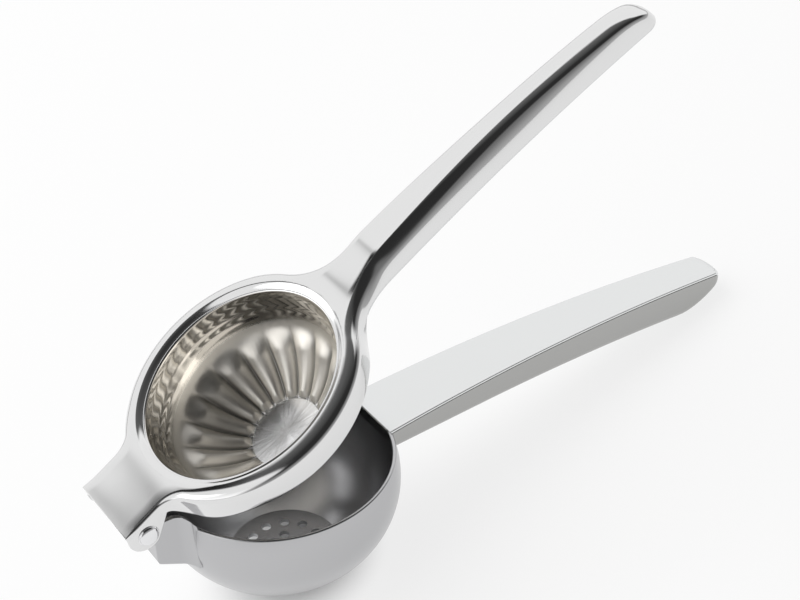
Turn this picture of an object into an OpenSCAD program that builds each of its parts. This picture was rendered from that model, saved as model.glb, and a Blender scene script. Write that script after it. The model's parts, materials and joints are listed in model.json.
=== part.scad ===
// Hinged lemon squeezer in stainless steel.
// The lower arm is a round bowl with a hinge lug and a boxed handle. The upper arm is one pressed
// shell, a ring with a hinge plate and a long arched handle, and it carries a fluted press cup.
// Both arms are drawn in a frame of their own: the hinge axis is Y, +X runs to the handle ends and
// +Z points out of the bowl. The squeezer stands on its bowl and the end of its lower handle.

/* [Stance] */
// Angle between the two arms, degrees
open_angle = 28.1; // [10:0.1:60]

/* [Upper arm] */
// Distance from the hinge axis to the centre of the bowl and the press cup
bowl_distance = 47; // [46:0.5:48]
// Outer radius of the ring
ring_r = 37.8; // [37.5:0.1:38.2]
// Height of the ring's top above the hinge axis
ring_top_z = 5.95; // [5.8:0.05:6.3]
// Height of the ring's lower edge
ring_edge_z = -4.4; // [-4.4:0.05:-4]
// How far the ring's skirt draws in at its lower edge
skirt_inset = 1.4; // [1:0.1:1.6]
// Width of the ring's rounded shoulder, from its crest to its side
ring_shoulder = 4.2; // [3.8:0.1:4.4]
// Reach of the hinge plate in front of the hinge axis
plate_front = 5; // [4.5:0.1:5.3]
// Half the width of the hinge plate
plate_half_w = 13.6; // [13.6:0.05:14]
// Height of the hinge plate's front edge
plate_top_z = 5.3; // [5.2:0.05:5.6]
// Radius between hinge plate and ring, seen from above
plate_fillet_r = 8; // [6:0.5:10]
// Radius between ring and handle, seen from above
neck_fillet_r = 22; // [18:1:26]
// Thickness of the pressed sheet
sheet_t = 1.5; // [1.4:0.05:1.6]

/* [Upper handle] */
// Distance from the hinge axis to the end of the upper handle
upper_reach = 207; // [200:1:215]
// Half the width of the upper handle at its root
upper_root_w = 9.6; // [9.4:0.1:10.5]
// Loss of half the width for each millimetre of length
upper_taper = 0.032; // [0.025:0.001:0.034]
// Highest point of the crest
crest_z = 9.8; // [9:0.1:10]
// Distance of that point from the hinge axis
crest_x = 127; // [120:1:135]
// Radius of the crest's arch
crest_arc_r = 515; // [490:5:560]
// Highest point of the handle's lower rim
upper_rim_z = 0.7; // [0.5:0.1:1.2]
// Distance of that point from the hinge axis
upper_rim_x = 113; // [108:1:118]
// Radius of the rim's arch
upper_rim_arc_r = 860; // [800:10:950]
// Radius of the handle's rounded end, seen from above
upper_tip_r = 5.5; // [5.4:0.05:5.6]
// Length over which the crest rolls down to the handle's end
nose_len = 13; // [10:0.5:16]

/* [Press cup] */
// Inner radius of the cup's mouth
cup_mouth_r = 30.8; // [30.4:0.1:31]
// Height of the cup's lip
cup_lip_z = 5; // [4.9:0.05:5.2]
// Radius of the arc that forms the cup's wall
cup_arc_r = 38.2; // [37:0.1:39]
// Slope of the wall at the lip, from upright
cup_lip_slope = 8.1; // [7:0.1:9]
// Slope of the wall where it meets the flat end
cup_end_slope = 59; // [57:0.5:60]
// Number of flutes
flute_count = 18; // [12:1:20]
// Depth of a flute
flute_depth = 1.9; // [1:0.1:2.2]

/* [Bowl] */
// Largest outer radius of the bowl
bowl_r = 36.6; // [36.4:0.1:36.8]
// Height at which the bowl is widest
bowl_belly_z = -12.2; // [-13:0.1:-12]
// Height of its rim
bowl_rim_z = -4.9; // [-5.2:0.05:-4.9]
// Depth of the rounded form below the widest place
bowl_depth = 32.6; // [31:0.1:34]
// Radius of the flat base
base_r = 17; // [15:0.5:18]
// Wall of the bowl
bowl_t = 1.2; // [1.1:0.1:1.4]
// Diameter of a juice hole
juice_hole_d = 3; // [2.5:0.1:3.5]

/* [Lower handle] */
// Distance from the hinge axis to the end of the lower handle
lower_reach = 211.2; // [200:0.1:215]
// Half its width at the bowl
lower_root_w = 11.25; // [10.5:0.05:11.5]
// Loss of half the width for each millimetre of length
lower_taper = 0.041; // [0.038:0.0005:0.044]
// Highest point of its flat inner face
lower_top_z = -1.75; // [-2:0.05:-1.7]
// Distance of that point from the hinge axis
lower_top_x = 141; // [136:1:146]
// Radius of that face's arch
lower_top_arc_r = 690; // [650:10:760]
// Height of the underside at the bowl
lower_bottom_z = -12; // [-12.5:0.1:-11.5]
// Radius of the sweep of the underside
lower_bottom_arc_r = 757; // [740:1:800]
// Rise of the underside at the handle's end
lower_tip_rise = 8.3; // [8:0.1:8.8]

/* [Hinge] */
// Radius of the rivet's shank
pin_r = 2; // [1.8:0.05:2]
// Radius of the rivet's domed head
head_r = 3.2; // [3:0.05:3.4]
// Height of the dome
head_h = 1.3; // [1:0.05:1.5]
// Half the width of the hinge lug
lug_half_w = 11.5; // [11.4:0.05:11.5]
// Wall of the hinge lug
lug_t = 1.5; // [1.2:0.1:1.6]

/* [Hidden] */
$fn = 96;

// Where handle widths are measured from
handle_x = 83;
// Clearances of the running hinge
running_gap = 0.08;
snug_gap = 0.02;
// Thickness of the plates that close the handles
upper_plate_t = 0.6;
lower_plate_t = 0.8;
lower_wall_t = 1.2;
// The ears' side faces lie this far inside the faces of the hinge plate's folded edge.
ear_skin = 0.03;
ear_outer_y = plate_half_w - ear_skin;
ear_inner_y = plate_half_w - sheet_t + ear_skin;
washer_t = 0.5;

// ---- Shared functions ----

function mix(a, b, t) = a + (b - a) * t;
function ease(a, b, x) = let (t = min(1, max(0, (x - a) / (b - a)))) t * t * (3 - 2 * t);
function arch(peak, at, radius, x) = peak - (x - at) * (x - at) / (2 * radius);
function bezier(p, q, r, t) = mix(mix(p, q, t), mix(q, r, t), t);

// Points of an arc with their inset directions: side is -1 where the arc bulges out of the
// outline and 1 where it is a fillet.
function arc_run(centre, r, from, to, steps, side) = [
    for (i = [0 : steps])
        let (a = mix(from, to, i / steps), u = [cos(a), sin(a)])
        [centre + r * u, side * u]
];

// One half of an outline becomes a closed loop by mirroring it over the X axis.
function loop(half) = concat(half, [for (i = [len(half) - 1 : -1 : 0])
    [half[i].x, -half[i].y, half[i].z]]);

// A solid through a stack of loops with equal numbers of points, from the highest loop outward
// and down. The first and last loops are closed by flat strips between mirrored points.
module loft(halves) {
    loops = [for (h = halves) loop(h)];
    half_n = len(halves[0]);
    n = 2 * half_n;
    rows = len(loops);
    last = (rows - 1) * n;
    points = [for (l = loops) each l];
    walls = [
        for (j = [0 : rows - 2], i = [0 : n - 1])
            let (a = j * n + i, b = j * n + (i + 1) % n)
            each i < half_n
                ? [[a, b + n, b], [a, a + n, b + n]]
                : [[a, a + n, b], [b, a + n, b + n]]
    ];
    first_cap = [
        for (i = [0 : half_n - 2])
            let (a = i, b = i + 1, c = n - 2 - i, d = n - 1 - i)
            each [[a, b, c], [a, c, d]]
    ];
    last_cap = [
        for (i = [0 : half_n - 2])
            let (a = last + i, b = a + 1, c = last + n - 2 - i, d = c + 1)
            each [[a, c, b], [a, d, c]]
    ];
    polyhedron(points, concat(first_cap, walls, last_cap), convexity = 8);
}

// ---- Outline and section of the upper arm ----

function upper_w(x) = upper_root_w - upper_taper * (x - handle_x);

plate_fillet_y = plate_half_w + plate_fillet_r;
plate_fillet_x = bowl_distance - sqrt(pow(ring_r + plate_fillet_r, 2) - pow(plate_fillet_y, 2));
plate_fillet_end = -asin(plate_fillet_y / (ring_r + plate_fillet_r));

// The neck fillet touches the ring and the straight side of the handle.
taper_len = sqrt(1 + upper_taper * upper_taper);
taper_angle = atan(upper_taper);
neck_k = upper_w(0) + neck_fillet_r * taper_len;
neck_b = bowl_distance + upper_taper * neck_k;
neck_c = pow(bowl_distance, 2) + pow(neck_k, 2) - pow(ring_r + neck_fillet_r, 2);
neck_x = (neck_b + sqrt(neck_b * neck_b - taper_len * taper_len * neck_c))
    / (taper_len * taper_len);
neck_y = neck_k - upper_taper * neck_x;
neck_angle = atan2(neck_y, neck_x - bowl_distance);
side_start_x = neck_x - neck_fillet_r * sin(taper_angle);

tip_x = upper_reach - upper_tip_r;
tip_y = upper_w(tip_x) - upper_tip_r * taper_len;
side_end_x = tip_x + upper_tip_r * sin(taper_angle);
side_steps = 16;

// Half of the upper arm's outline from the front corner of the hinge plate to the handle's end,
// each point with the direction in which it moves when the outline is drawn inward.
function upper_outline() = concat(
    [[[-plate_front, plate_half_w], [1, -1]]],
    [for (x = [0.5, 3.7]) [[x, plate_half_w], [0, -1]]],
    arc_run([plate_fillet_x, plate_fillet_y], plate_fillet_r, -90, plate_fillet_end, 7, 1),
    [for (i = [1 : 23]) arc_run([bowl_distance, 0], ring_r, 180 + plate_fillet_end,
        neck_angle, 24, -1)[i]],
    arc_run([neck_x, neck_y], neck_fillet_r, 180 + neck_angle, 270 - taper_angle, 8, 1),
    [for (i = [1 : side_steps - 1])
        let (x = mix(side_start_x, side_end_x, i / side_steps))
        [[x, upper_w(x)], [-sin(taper_angle), -cos(taper_angle)]]],
    arc_run([tip_x, tip_y], upper_tip_r, 90 - taper_angle, 4, 8, -1)
);

// Height of the upper surface along the arm
function upper_top(x) = x < bowl_distance
    ? mix(plate_top_z, ring_top_z, ease(-plate_front, 14, x))
    : mix(ring_top_z, arch(crest_z, crest_x, crest_arc_r, x), ease(80, 102, x));

// Height of the lower edge: the hinge plate's sides, the ring's skirt, the handle's rim
plate_side_z = 1.6;
function upper_edge(x) = x < bowl_distance
    ? mix(plate_side_z, ring_edge_z, ease(8, 14.4, x))
    : mix(ring_edge_z, arch(upper_rim_z, upper_rim_x, upper_rim_arc_r, x) + upper_plate_t,
        ease(77.5, 87.5, x));

// Height of the underside of the sheet. It is level under the ring, where the cup is welded.
ring_under_z = 4.4;
plate_under_z = plate_top_z - 1.4;
function upper_under(x) = x < bowl_distance
    ? mix(plate_under_z, ring_under_z, ease(2, 11, x))
    : mix(ring_under_z, upper_top(x) - sheet_t, ease(82, 96, x));

// Section of the arm as [inset from the outline, drop below the upper surface]: the edge of the
// flat top, the shoulder and the wall down to the lower edge. On the handle the top's flat strip
// narrows from root to end, where it stays clear of the centre of the rounded end, and the wall
// leaves the shoulder at a fixed slope.
shoulder_drop = 2.6;
wall_slope = 53;
function front_end(x) = 1 - ease(-plate_front, 0, x);
function front_section() = [[0.3, 0], [0, 0], [0, 0.3], [0, 0.8], [0, 1.4]];
function plate_section(depth) = [[1.2, 0], [0, 0], [0, 1.2], [0, 2], [0, depth]];
function ring_section(depth, inset) = [
    [ring_shoulder, 0], [0.1, 0], [0, shoulder_drop], [0.1, 6.5], [inset, depth]
];
function handle_section(x, depth) = let (
        narrow = mix(4.6, 0.4, ease(80, 190, x)),
        crest_flat = x > tip_x ? max(narrow, upper_w(x) - upper_tip_r + 0.05) : narrow,
        crest_w = mix(7.2, 3.8, ease(75, 165, x)),
        bend = mix(1.5, 0.8, ease(80, 175, x)),
        turn_d = upper_w(x) - crest_w - bend,
        slope = tan(wall_slope)
    ) [
        [upper_w(x) - crest_flat, 0],
        [upper_w(x) - crest_w, 0],
        [turn_d, bend * slope],
        [0.4, (bend + turn_d - 0.4) * slope],
        [0, depth]
    ];
function upper_section(x) = let (
        depth = upper_top(x) - upper_edge(x),
        inset = skirt_inset * ease(14, 30, x),
        front = mix(plate_section(depth), front_section(), front_end(x)),
        rear = mix(ring_section(depth, inset), handle_section(x, depth), ease(72, 97, x))
    ) mix(front, rear, ease(6, 20, x));

// Towards the end of the handle its height above the lower edge shrinks along a full quarter curve.
nose_x = upper_reach - nose_len;
nose_power = 2.3;
function nose(x) = let (t = max(0, x - nose_x) / (nose_len + 0.3))
    pow(1 - pow(t, nose_power), 1 / nose_power);
function rolled(x, z) = mix(upper_edge(x), z, nose(x));

function upper_row(outline, inset_drop) = [
    for (i = [0 : len(outline) - 1])
        let (p = outline[i][0] + outline[i][1] * inset_drop[i][0])
        [p.x, p.y, rolled(p.x, upper_top(p.x) - inset_drop[i][1])]
];

// A row on the lower edge. The hinge plate's front edge stays close to its underside.
front_edge_drop = 0.2;
function upper_rim_row(outline, sections, more, lower) = [
    for (i = [0 : len(outline) - 1])
        let (
            x = outline[i][0].x,
            p = outline[i][0] + outline[i][1] * (sections[i][4][0] + more),
            edge = x < 0 ? upper_under(x) - front_edge_drop : upper_edge(x)
        )
        [p.x, p.y, edge - lower]
];

// A row on the inner face of the sheet, from the foot of the wall (t = 0) to the underside. The
// underside is level as far out as the flange of the cup reaches.
cup_ledge = 2.8;
function upper_inner_row(outline, sections, t) = [
    for (i = [0 : len(outline) - 1])
        let (
            x = outline[i][0].x,
            s = sections[i],
            handle = ease(72, 97, x),
            wall = bezier(s[2], s[3], s[4], 0.3),
            low = wall + [sheet_t - 0.2 * handle, 0.8 * handle],
            high_d = mix(cup_ledge, s[1][0] + 0.6, handle),
            p = outline[i][0] + outline[i][1] * mix(low[0], high_d, t),
            z_low = min(upper_top(x) - low[1], upper_under(x))
        )
        [p.x, p.y, rolled(p.x, mix(z_low, upper_under(p.x), t))]
];

// ---- Upper arm ----

module upper_shell() {
    outline = upper_outline();
    sections = [for (o = outline) upper_section(o[0].x)];
    shoulder = [for (t = [0, 0.25, 0.5, 0.75, 1])
        upper_row(outline, [for (s = sections) bezier(s[0], s[1], s[2], t)])];
    wall = [for (t = [0.35, 0.7])
        upper_row(outline, [for (s = sections) bezier(s[2], s[3], s[4], t)])];
    loft(concat(
        shoulder,
        wall,
        [upper_rim_row(outline, sections, 0, 0), upper_rim_row(outline, sections, sheet_t, 0)],
        [for (t = [0, 1]) upper_inner_row(outline, sections, t)]
    ));
}

// The opening that the press cup fills. Its upper part forms the slope from the ring's crest down
// to the cup's lip.
cup_hole_r = 31.4;
crest_r = ring_r - ring_shoulder;
module cup_hole() {
    translate([bowl_distance, 0, 0])
        rotate_extrude()
            polygon(concat(
                [[0, 20], [0, -20], [cup_hole_r, -20]],
                [for (t = [0 : 0.125 : 1])
                    [mix(cup_hole_r, crest_r, t),
                        mix(cup_lip_z, ring_top_z + 0.02, 0.5 * (t + ease(0, 1, t)))]],
                [[crest_r + 0.8, ring_top_z + 0.3], [crest_r + 0.8, 20]]
            ));
}

// An ear is a round lobe that hangs from the folded edge of the hinge plate, with a straight edge
// back to the ring's skirt.
ear_r = 5.08;
ear_centre = [-0.8, 0.9];
ear_root = [8.3, 1.5];
ear_span = ear_root - ear_centre;
ear_tangent = atan2(ear_span.y, ear_span.x) - acos(ear_r / norm(ear_span));
ear_top_z = 4.6;
module ear_shape() {
    translate(ear_centre) circle(r = ear_r);
    polygon([
        [0.1 - plate_front, ear_top_z],
        ear_centre + ear_r * [cos(176), sin(176)],
        ear_centre,
        ear_centre + ear_r * [cos(ear_tangent), sin(ear_tangent)],
        ear_root,
        [ear_root.x, ear_top_z]
    ]);
}

module ears() {
    for (side = [-1, 1])
        translate([0, side * (ear_outer_y + ear_inner_y) / 2, 0])
            rotate([90, 0, 0])
                linear_extrude(ear_outer_y - ear_inner_y, center = true)
                    difference() {
                        ear_shape();
                        circle(r = pin_r + snug_gap);
                    }
}

module upper_arm() {
    color("silver")
        upper_frame() {
            difference() {
                upper_shell();
                cup_hole();
                y_cylinder(pin_r + snug_gap, -20, 20);
            }
            ears();
        }
}

// ---- Plate under the upper handle ----

// It starts behind the ring and follows the handle's rim to the end.
upper_plate_start = 86;
module upper_handle_plate() {
    outline = [for (o = upper_outline()) if (o[0].x > upper_plate_start) o];
    sections = [for (o = outline) upper_section(o[0].x)];
    color("gainsboro")
        upper_frame()
            loft([
                upper_rim_row(outline, sections, sheet_t, 0),
                upper_rim_row(outline, sections, 0.15, 0),
                upper_rim_row(outline, sections, 0.2, upper_plate_t - 0.2),
                upper_rim_row(outline, sections, 0.4, upper_plate_t)
            ]);
}

// ---- Press cup ----

cup_t = 1;
cup_gap = 0.05;
// The cup hangs by a flange that is welded to the underside of the ring.
cup_flange_r = 34.5;
cup_centre = [
    cup_mouth_r - cup_arc_r * cos(cup_lip_slope),
    cup_lip_z + cup_arc_r * sin(cup_lip_slope)
];
flute_top_slope = 27;
flute_full_slope = 38;
flute_steps = 8;
flute_phase = 5;

// A flute is a rounded bar that bulges into the cup, with a narrow groove on each side.
bar_power = 0.7;
function bar(a) = pow(abs(cos(flute_count * (a - flute_phase) / 2)), bar_power);

// One ring of the cup's wall at a given slope, on the inner or the outer face
function cup_wall_row(slope, thick) = let (
        swell = flute_depth * ease(flute_top_slope, flute_full_slope, slope)
    ) [
        for (i = [0 : flute_count * flute_steps - 1])
            let (
                a = 360 * i / (flute_count * flute_steps),
                r = cup_arc_r + thick - swell * bar(a),
                reach = cup_centre[0] + r * cos(slope)
            )
            [reach * cos(a), reach * sin(a), cup_centre[1] - r * sin(slope)]
    ];
function cup_ring_row(r, z) = [
    for (i = [0 : flute_count * flute_steps - 1])
        let (a = 360 * i / (flute_count * flute_steps))
        [r * cos(a), r * sin(a), z]
];

module press_cup() {
    n = flute_count * flute_steps;
    end_r = cup_centre[0] + (cup_arc_r - flute_depth) * cos(cup_end_slope) - 0.5;
    end_z = cup_centre[1] - cup_arc_r * sin(cup_end_slope);
    inner_slopes = [cup_lip_slope, 15, 22, flute_top_slope, 30, 33.5, flute_full_slope,
        43, 48, 53, cup_end_slope - 1.5];
    outer_slopes = [57.5, 51, 45, flute_full_slope, 33.5, 30, flute_top_slope, 20, 12];
    rows = concat(
        [cup_ring_row(end_r, end_z)],
        [for (i = [len(inner_slopes) - 1 : -1 : 0]) cup_wall_row(inner_slopes[i], 0)],
        [
            cup_ring_row(cup_hole_r - cup_gap, cup_lip_z),
            cup_ring_row(cup_hole_r - cup_gap, ring_under_z),
            cup_ring_row(cup_flange_r, ring_under_z),
            cup_ring_row(cup_flange_r, ring_under_z - cup_t),
            cup_ring_row(cup_hole_r + 0.2, ring_under_z - cup_t)
        ],
        [for (i = [len(outer_slopes) - 1 : -1 : 0]) cup_wall_row(outer_slopes[i], cup_t)],
        [cup_ring_row(end_r + 0.6, end_z - cup_t)]
    );
    last = (len(rows) - 1) * n;
    points = concat([for (r = rows) each r], [[0, 0, end_z], [0, 0, end_z - cup_t]]);
    inner_hub = len(points) - 2;
    outer_hub = len(points) - 1;
    faces = concat(
        [for (i = [0 : n - 1]) [inner_hub, (i + 1) % n, i]],
        [for (j = [0 : len(rows) - 2], i = [0 : n - 1])
            let (a = j * n + i, b = j * n + (i + 1) % n)
            each [[a, b + n, a + n], [a, b, b + n]]],
        [for (i = [0 : n - 1]) [outer_hub, last + i, last + (i + 1) % n]]
    );
    color("whitesmoke")
        upper_frame()
            translate([bowl_distance, 0, 0])
                polyhedron(points, faces, convexity = 8);
}

// ---- Bowl ----

base_z = bowl_belly_z - bowl_depth * sqrt(1 - pow(base_r / bowl_r, 2));

// Points of the bowl's outline from rim to base, drawn in by the wall's thickness
function bowl_outline(inset) = let (
        a = bowl_r - inset,
        b = bowl_depth - inset,
        top = asin((bowl_rim_z - bowl_belly_z) / b),
        bottom = asin((base_z + inset - bowl_belly_z) / b)
    ) [
        for (i = [0 : 24])
            let (t = mix(top, bottom, i / 24))
            [a * cos(t), bowl_belly_z + b * sin(t)]
    ];

// Everything inside the bowl's outline, carried straight up above the rim
module bowl_inside(inset) {
    outline = bowl_outline(inset);
    translate([bowl_distance, 0, 0])
        rotate_extrude()
            polygon(concat(
                [[0, 12], [outline[0].x, 12]],
                outline,
                [[0, outline[24].y]]
            ));
}

module bowl_shell() {
    inner = bowl_outline(bowl_t);
    translate([bowl_distance, 0, 0])
        rotate_extrude()
            polygon(concat(
                bowl_outline(0),
                [[0, base_z], [0, base_z + bowl_t]],
                [for (i = [24 : -1 : 0]) inner[i]]
            ));
}

// The lug's side view: a lobe round the pin and a box that leads down into the bowl
lobe_r = 3.7;
lug_front_x = 2.2;
lug_foot = [3.3, -14];
lug_slope = 27.5;
lug_deep_x = 20;
lug_web_top_z = -4.6;
module lug_side() {
    circle(r = lobe_r);
    polygon([
        [0, lobe_r],
        lobe_r * [cos(218), sin(218)],
        [lug_front_x, -6.2],
        [lug_front_x, -12.6],
        [lug_front_x + 0.35, -13.5],
        lug_foot,
        [lug_deep_x, lug_foot.y - (lug_deep_x - lug_foot.x) * tan(lug_slope)],
        [lug_deep_x, bowl_rim_z],
        [14.8, bowl_rim_z],
        [12.8, -2.1],
        [11, -0.6],
        [9, 0.1],
        [6, 0.3],
        [4, 1.4]
    ]);
}

// The space inside the lug, open above the web at its front
module lug_side_inside() {
    polygon([
        [-8, lug_web_top_z],
        [lug_front_x + lug_t, lug_web_top_z],
        [lug_front_x + lug_t, -12.4],
        [lug_deep_x, -12.4 - (lug_deep_x - lug_front_x - lug_t) * tan(lug_slope)],
        [lug_deep_x, 8],
        [-8, 8]
    ]);
}

// The lug's plan: straight sides that flare into the bowl with a fillet
flare_r = 4;
flare_y = lug_half_w + flare_r;
flare_x = bowl_distance - sqrt(pow(bowl_r + flare_r, 2) - pow(flare_y, 2));
module lug_plan(inset) {
    half_w = lug_half_w - inset;
    wide = flare_y * bowl_r / (bowl_r + flare_r);
    translate([-8, -half_w])
        square([lug_deep_x + 8, 2 * half_w]);
    difference() {
        translate([flare_x, -wide])
            square([lug_deep_x - flare_x, 2 * wide]);
        for (side = [-1, 1])
            translate([flare_x, side * flare_y])
                circle(r = flare_r + inset);
    }
}

module lug_solid() {
    intersection() {
        translate([0, 0, -30])
            linear_extrude(45)
                lug_plan(0);
        rotate([90, 0, 0])
            linear_extrude(4 * lug_half_w, center = true)
                lug_side();
    }
}

module lug_space() {
    intersection() {
        translate([0, 0, -30])
            linear_extrude(45)
                lug_plan(lug_t);
        rotate([90, 0, 0])
            linear_extrude(4 * lug_half_w, center = true)
                lug_side_inside();
    }
}

// Rings of juice holes in the base: the number of holes and the radius on which they stand
juice_rows = [[6, 5.5], [12, 11]];
module bowl() {
    color("lightgray")
        lower_frame()
            difference() {
                union() {
                    bowl_shell();
                    difference() {
                        lug_solid();
                        bowl_inside(bowl_t / 2);
                    }
                }
                lug_space();
                y_cylinder(pin_r + running_gap, -20, 20);
                for (row = juice_rows, i = [0 : row[0] - 1])
                    translate([bowl_distance, 0, base_z - 1])
                        rotate([0, 0, 360 * i / row[0]])
                            translate([row[1], 0, 0])
                                cylinder(d = juice_hole_d, h = bowl_t + 2);
            }
}

// ---- Lower handle ----

function lower_w(x) = lower_root_w - lower_taper * (x - handle_x);
function lower_top(x) = arch(lower_top_z, lower_top_x, lower_top_arc_r, x);
tip_rise_len = 17.5;
function lower_bottom(x) = let (
        from_root = max(0, x - 115),
        at_tip = max(0, (x - lower_reach + tip_rise_len) / tip_rise_len)
    ) lower_bottom_z - from_root * from_root / (2 * lower_bottom_arc_r)
        + lower_tip_rise * pow(at_tip, 1.8);

lower_corner_r = 3;
lower_end_r = 18;
lower_corner_y = lower_w(lower_reach - 2) - lower_corner_r;
lower_corner_x = lower_reach - lower_end_r
    + sqrt(pow(lower_end_r - lower_corner_r, 2) - pow(lower_corner_y, 2));
lower_corner_end = asin(lower_corner_y / (lower_end_r - lower_corner_r));
lower_start_x = 76;
lower_steps = 16;

function lower_outline() = concat(
    [[[lower_start_x, lower_w(lower_start_x)], [0.3, -1]]],
    [for (i = [1 : lower_steps - 1])
        let (x = mix(lower_start_x, lower_corner_x, i / lower_steps))
        [[x, lower_w(x)], [0, -1]]],
    arc_run([lower_corner_x, lower_corner_y], lower_corner_r, 90, lower_corner_end, 5, -1),
    [[[lower_reach, 0.4], [-1, 0]]]
);

// A point of the outline drawn inward. At the end's corners it stops short of the arc's centre.
function lower_inset(o, inset) = o[0]
    + o[1] * (o[1].x < 0 ? min(inset, lower_corner_r - 0.4 + inset / 10) : inset);

// A row below the flat inner face, and one above the underside
function lower_top_row(outline, inset, drop) = [
    for (o = outline)
        let (p = lower_inset(o, inset))
        [p.x, p.y, lower_top(o[0].x) - drop]
];
function lower_bottom_row(outline, inset, lift) = [
    for (o = outline)
        let (
            p = lower_inset(o, inset),
            low = lower_bottom(p.x),
            room = lower_top(p.x) - lower_plate_t - low
        )
        [p.x, p.y, low + min(lift, 0.6 * room)]
];

// Size of the bend between the sides and the underside
lower_bend = 3;
module lower_handle_shell() {
    outline = lower_outline();
    color("silver")
        lower_frame()
            difference() {
                loft([
                    lower_bottom_row(outline, lower_bend + 0.1, lower_wall_t),
                    lower_bottom_row(outline, lower_wall_t, lower_bend + 0.2),
                    lower_top_row(outline, lower_wall_t, lower_plate_t),
                    lower_top_row(outline, 0, lower_plate_t),
                    lower_bottom_row(outline, 0, lower_bend),
                    lower_bottom_row(outline, 0.3 * lower_bend, 0.3 * lower_bend),
                    lower_bottom_row(outline, lower_bend, 0)
                ]);
                bowl_inside(0);
            }
}

// Bevel round the plate's edge
lower_bevel = 0.2;
module lower_handle_plate() {
    outline = lower_outline();
    color("gainsboro")
        lower_frame()
            difference() {
                loft([
                    lower_top_row(outline, lower_bevel, 0),
                    lower_top_row(outline, 0, lower_bevel),
                    lower_top_row(outline, 0, lower_plate_t),
                    lower_top_row(outline, lower_wall_t, lower_plate_t)
                ]);
                bowl_inside(0);
            }
}

// ---- Hinge ----

module y_cylinder(r, from, to) {
    translate([0, from, 0])
        rotate([-90, 0, 0])
            cylinder(r = r, h = to - from);
}

module y_tube(outer, inner, from, to) {
    difference() {
        y_cylinder(outer, from, to);
        y_cylinder(inner, from - 1, to + 1);
    }
}

// A flat-bottomed dome on the XY plane
module dome() {
    sphere_r = (head_r * head_r + head_h * head_h) / (2 * head_h);
    intersection() {
        translate([0, 0, head_h - sphere_r])
            sphere(r = sphere_r);
        cylinder(r = head_r, h = head_h + 1);
    }
}

// The shank is riveted over in the cap through a thinner neck.
neck_len = 0.7;
neck_r = 1.4;

module hinge_pin() {
    color("lightsteelblue")
        upper_frame() {
            translate([0, -plate_half_w, 0])
                rotate([90, 0, 0])
                    dome();
            y_cylinder(pin_r, -plate_half_w, plate_half_w);
            y_cylinder(neck_r, 0, plate_half_w + neck_len);
        }
}

module hinge_rivet_cap() {
    color("lightsteelblue")
        upper_frame()
            translate([0, plate_half_w, 0])
                rotate([-90, 0, 0])
                    difference() {
                        dome();
                        translate([0, 0, -1])
                            cylinder(r = neck_r, h = neck_len + 1);
                    }
}

spacer_r = 3.2;
module hinge_spacer() {
    color("darkgray")
        lower_frame()
            y_tube(spacer_r, pin_r + running_gap, lug_t - lug_half_w, lug_half_w - lug_t);
}

washer_r = 3.5;
module washer(side) {
    near = side * lug_half_w;
    far = side * (lug_half_w + washer_t);
    color("darkgray")
        lower_frame()
            y_tube(washer_r, pin_r + running_gap, min(near, far), max(near, far));
}
module hinge_washer_near() {
    washer(-1);
}

module hinge_washer_far() {
    washer(1);
}

// ---- Stance ----

// The squeezer leans until the underside of the lower handle meets the surface that the edge of
// the bowl's base stands on.
base_edge_x = bowl_distance + base_r;
stance_tilt = min([for (x = [180 : lower_reach - 1])
    atan2(lower_bottom(x) - base_z, x - base_edge_x)]);
axis_height = base_edge_x * sin(stance_tilt) - base_z * cos(stance_tilt);

// Middle of the whole length, between the front of the hinge and the end of the lower handle
hinge_front_x = -6.3;
lower_end_z = lower_top(lower_reach) - lower_bevel;
lower_end_x = lower_reach * cos(stance_tilt) + lower_end_z * sin(stance_tilt);
middle_x = (hinge_front_x + lower_end_x) / 2;

module lower_frame() {
    translate([-middle_x, 0, axis_height])
        rotate([0, stance_tilt, 0])
            children();
}

module upper_frame() {
    lower_frame()
        rotate([0, -open_angle, 0])
            children();
}

upper_arm();
upper_handle_plate();
press_cup();
bowl();
lower_handle_shell();
lower_handle_plate();
hinge_pin();
hinge_rivet_cap();
hinge_spacer();
hinge_washer_near();
hinge_washer_far();
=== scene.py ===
"""Look of a hinged lemon squeezer in stainless steel.

The arms are rebuilt here as fine meshes from the same driving dimensions as the CAD solids, so
that their polished faces reflect cleanly. Shapes are worked out in millimetres in the frame of
the arm they belong to: the hinge axis is Y, +X runs to the handle ends, +Z out of the bowl.
"""
import json
import math

import bmesh
import bpy
import numpy as np
from mathutils import Matrix, Vector

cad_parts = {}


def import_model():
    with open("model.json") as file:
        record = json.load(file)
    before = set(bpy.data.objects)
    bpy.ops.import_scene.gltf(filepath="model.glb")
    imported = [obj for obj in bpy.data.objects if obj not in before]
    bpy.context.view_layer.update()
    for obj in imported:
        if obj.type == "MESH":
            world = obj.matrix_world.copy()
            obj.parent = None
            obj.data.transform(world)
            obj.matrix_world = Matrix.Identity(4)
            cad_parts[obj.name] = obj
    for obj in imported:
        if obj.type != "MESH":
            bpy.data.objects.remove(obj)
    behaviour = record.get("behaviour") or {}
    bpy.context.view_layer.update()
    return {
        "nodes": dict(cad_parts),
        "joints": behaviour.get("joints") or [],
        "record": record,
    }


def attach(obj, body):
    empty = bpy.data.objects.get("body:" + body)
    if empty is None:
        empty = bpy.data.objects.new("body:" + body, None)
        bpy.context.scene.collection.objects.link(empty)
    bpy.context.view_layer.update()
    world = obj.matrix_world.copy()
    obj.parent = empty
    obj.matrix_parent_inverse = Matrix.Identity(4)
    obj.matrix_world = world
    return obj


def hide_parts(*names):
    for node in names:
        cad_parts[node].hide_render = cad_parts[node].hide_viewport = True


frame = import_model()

# ---- Frames of the two arms ----

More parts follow.
